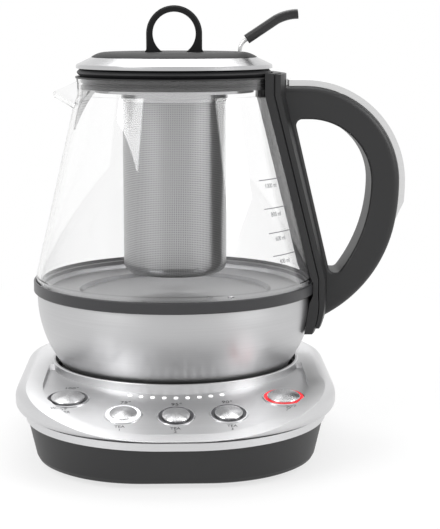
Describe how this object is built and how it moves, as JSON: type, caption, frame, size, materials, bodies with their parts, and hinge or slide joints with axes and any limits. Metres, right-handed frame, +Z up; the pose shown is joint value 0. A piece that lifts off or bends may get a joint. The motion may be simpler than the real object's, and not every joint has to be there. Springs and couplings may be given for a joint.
{
  "type": "automatic tea maker",
  "caption": "Electric tea maker: glass kettle with a steel bowl, hanging perforated infuser, lift-off lid and loop handle, on a steel power base with buttons.",
  "frame": {"origin": "on the table under the kettle's axis, in the plane of the base's feet", "axes": "+Z up, -Y towards the control panel, +X towards the handle"},
  "size_m": [0.2185, 0.2065, 0.2449],
  "materials": {
    "brushed_deck": "brushed left to right",
    "black_moulding": "fine moulded texture",
    "black_rubber": "matte",
    "plated_screw": "plated",
    "brass_contact": "satin",
    "ring_unlit": "smoked translucent plastic, unlit",
    "ring_white": "translucent plastic lit white",
    "ring_red": "translucent plastic lit red",
    "bright_bezel": "polished",
    "white_lamp": "diffusing white",
    "circuit_board": "solder mask",
    "brushed_bowl": "brushed round the bowl",
    "black_band": "semi-gloss",
    "clear_silicone": "translucent grey silicone",
    "steel_floor": "satin, brushed",
    "heater_aluminium": "cast",
    "clear_glass": "clear borosilicate",
    "steel_mesh": "perforated sheet",
    "black_grip": "fine moulded texture",
    "brushed_trim": "brushed along the trim",
    "perforated_steel": "finely perforated sheet",
    "steel_rod": "polished",
    "black_sleeve": "smooth silicone",
    "polished_dome": "satin, nearly polished",
    "black_cap": "semi-gloss",
    "brushed_cap": "turned, fine rings"
  },
  "bodies": {
    "base": {"base_deck": "brushed_deck", "base_shell": "black_moulding", "cord_gland": "black_rubber", "base_bottom": "black_moulding", "base_feet": "black_rubber", "base_screws": "plated_screw", "seat_dish": "black_moulding", "base_plug": "black_moulding", "plug_contact": "brass_contact", "light_ring_hot_water": "ring_unlit", "light_ring_tea_1": "ring_white", "light_ring_tea_2": "ring_unlit", "light_ring_tea_3": "ring_unlit", "light_ring_on_off": "ring_red", "button_bezels": "bright_bezel", "indicator_lamps": "white_lamp", "control_board": "circuit_board", "board_posts": "black_moulding", "button_switches": "black_moulding"},
    "kettle_carrier": {"kettle_socket": "black_moulding"},
    "kettle": {"kettle_bowl": "brushed_bowl", "kettle_underside": "black_moulding", "socket_holder": "black_moulding", "glass_band": "black_band", "glass_gasket": "clear_silicone", "kettle_floor": "steel_floor", "heating_element": "heater_aluminium", "heat_sensor": "brass_contact", "glass_body": "clear_glass", "neck_ring": "black_moulding", "spout_strainer": "steel_mesh", "handle_strap": "black_moulding", "handle_grip": "black_grip", "handle_trim": "brushed_trim"},
    "infuser": {"infuser_tube": "perforated_steel", "infuser_cup": "perforated_steel", "infuser_collar": "black_moulding", "lift_rod": "steel_rod", "lift_sleeve": "black_sleeve"},
    "lid": {"lid_dome": "polished_dome", "lid_cap": "black_cap", "lid_plug": "black_moulding", "lid_seal": "black_rubber", "lid_pull": "black_cap", "lid_screws": "plated_screw"},
    "button_hot_water": {"button_hot_water": "brushed_cap"},
    "button_tea_1": {"button_tea_1": "brushed_cap"},
    "button_tea_2": {"button_tea_2": "brushed_cap"},
    "button_tea_3": {"button_tea_3": "brushed_cap"},
    "button_on_off": {"button_on_off": "brushed_cap"}
  },
  "joints": [
    {"name": "kettle_lift", "type": "slide", "parent": "base", "child": "kettle_carrier", "axis": [0, 0, 1], "range_m": [0, 0.15]},
    {"name": "kettle_turn", "type": "hinge", "parent": "kettle_carrier", "child": "kettle", "pos_m": [0, 0, 0.0366], "axis": [0, 0, 1], "continuous": true},
    {"name": "infuser_lift", "type": "slide", "parent": "kettle", "child": "infuser", "axis": [0, 0, 1], "range_m": [0, 0.12]},
    {"name": "lid_lift", "type": "slide", "parent": "infuser", "child": "lid", "axis": [0, 0, 1], "range_m": [0, 0.06]},
    {"name": "press_hot_water", "type": "slide", "parent": "base", "child": "button_hot_water", "axis": [0, -0.1403, 0.9901], "range_m": [-0.0015, 0], "stiffness_N_per_m": 300, "springref_m": 0.001},
    {"name": "press_tea_1", "type": "slide", "parent": "base", "child": "button_tea_1", "axis": [0, -0.2442, 0.9697], "range_m": [-0.0015, 0], "stiffness_N_per_m": 300, "springref_m": 0.001},
    {"name": "press_tea_2", "type": "slide", "parent": "base", "child": "button_tea_2", "axis": [0, -0.2564, 0.9666], "range_m": [-0.0015, 0], "stiffness_N_per_m": 300, "springref_m": 0.001},
    {"name": "press_tea_3", "type": "slide", "parent": "base", "child": "button_tea_3", "axis": [0, -0.2442, 0.9697], "range_m": [-0.0015, 0], "stiffness_N_per_m": 300, "springref_m": 0.001},
    {"name": "press_on_off", "type": "slide", "parent": "base", "child": "button_on_off", "axis": [0, -0.1403, 0.9901], "range_m": [-0.0015, 0], "stiffness_N_per_m": 300, "springref_m": 0.001}
  ]
}
